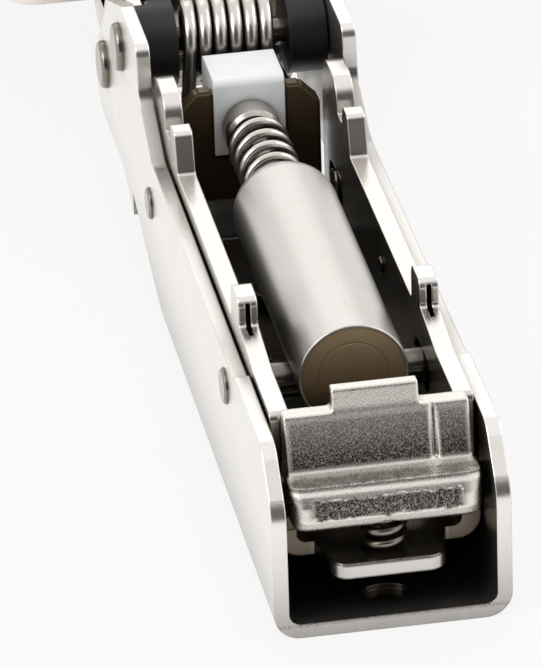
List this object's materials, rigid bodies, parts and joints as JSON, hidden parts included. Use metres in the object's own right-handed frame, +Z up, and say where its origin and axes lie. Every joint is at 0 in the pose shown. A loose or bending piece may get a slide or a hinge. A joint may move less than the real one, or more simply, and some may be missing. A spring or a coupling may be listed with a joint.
{
  "type": "concealed cup hinge",
  "caption": "Concealed cabinet hinge with a folded clip-on arm, two links, a round cup with a screw flange, a coil spring and a built-in soft-close damper.",
  "frame": {"origin": "middle of the rear edge of the arm's web, on its outer face", "axes": "+X along the arm from its rear mouth to the cup, +Y to the left, +Z up from the web towards the open side of the arm"},
  "size_m": [0.1151, 0.061, 0.0276],
  "materials": {
    "arm_nickel": "bright nickel plate over rolled sheet",
    "carrier_nickel": "bright nickel plate over rolled sheet",
    "lever_nickel": "nickel-plated die casting, lightly speckled",
    "link_nickel": "bright nickel plate over rolled sheet",
    "cup_nickel": "bright nickel plate over drawn sheet",
    "damper_nickel": "satin nickel-plated tube",
    "pin_steel": "turned steel",
    "spring_steel": "plated spring wire",
    "black_nylon": "moulded black nylon",
    "white_acetal": "moulded white acetal",
    "plug_bronze": "dull, darkened end plug"
  },
  "bodies": {
    "arm": {"hinge_arm": "arm_nickel", "spring_axle": "pin_steel", "outer_link_pin": "pin_steel", "damper_pin": "pin_steel", "left_guide_stud": "pin_steel", "right_guide_stud": "pin_steel", "left_sleeve": "black_nylon", "right_sleeve": "black_nylon", "torsion_spring": "spring_steel", "damper_cylinder": "damper_nickel", "damper_end_plug": "plug_bronze", "rod_spring": "spring_steel"},
    "carrier": {"clip_carrier": "carrier_nickel", "lever_pin": "pin_steel", "lever_spring": "spring_steel"},
    "lever": {"release_lever": "lever_nickel"},
    "cam": {"depth_cam": "pin_steel"},
    "screw": {"side_screw": "pin_steel"},
    "slider": {"piston_rod": "pin_steel", "spring_seat": "pin_steel", "slider_block": "white_acetal"},
    "outer_arm": {"outer_link": "link_nickel"},
    "cup": {"hinge_cup": "cup_nickel", "outer_cup_pin": "pin_steel", "inner_cup_pin": "pin_steel"},
    "inner_arm": {"inner_link": "link_nickel"}
  },
  "joints": [
    {"name": "hinge_swing", "type": "hinge", "parent": "arm", "child": "outer_arm", "pos_m": [0.07, 0, 0.0102], "axis": [0, 1, 0], "range_deg": [0, 38.8]},
    {"name": "cup_pivot", "type": "hinge", "parent": "outer_arm", "child": "cup", "pos_m": [0.08379, 0, 0.02291], "axis": [0, 1, 0], "range_deg": [0, 54.45]},
    {"name": "inner_link_pivot", "type": "hinge", "parent": "cup", "child": "inner_arm", "pos_m": [0.08329, 0, 0.01757], "axis": [0, -1, 0], "range_deg": [0, 78.5]},
    {"name": "damper_slide", "type": "slide", "parent": "arm", "child": "slider", "axis": [-1, 0, 0], "range_m": [0, 0.00331], "deforming": ["rod_spring"]},
    {"name": "carrier_slide", "type": "slide", "parent": "arm", "child": "carrier", "axis": [1, 0, 0], "range_m": [-0.0013, 0.0013]},
    {"name": "cam_turn", "type": "hinge", "parent": "arm", "child": "cam", "pos_m": [0.031, 0, 0.0005], "axis": [0, 0, -1], "range_deg": [-60.5, 60.5]},
    {"name": "screw_turn", "type": "hinge", "parent": "arm", "child": "screw", "pos_m": [0.04, 0, 0.002], "axis": [0, 0, 1], "range_deg": [-180, 180]},
    {"name": "lever_press", "type": "hinge", "parent": "carrier", "child": "lever", "pos_m": [0.0096, 0, 0.0086], "axis": [0, -1, 0], "range_deg": [0, 12], "stiffness_Nm_per_rad": 0.02, "springref_deg": -20.05, "deforming": ["lever_spring"]}
  ],
  "couplings": [
    {"joint": "cup_pivot", "follows": "hinge_swing", "ratio": 1.4021},
    {"joint": "inner_link_pivot", "follows": "hinge_swing", "ratio": 2.0219},
    {"joint": "damper_slide", "follows": "hinge_swing", "m_per_rad": 0.0048731},
    {"joint": "cam_turn", "follows": "carrier_slide", "rad_per_m": 805.54}
  ]
}
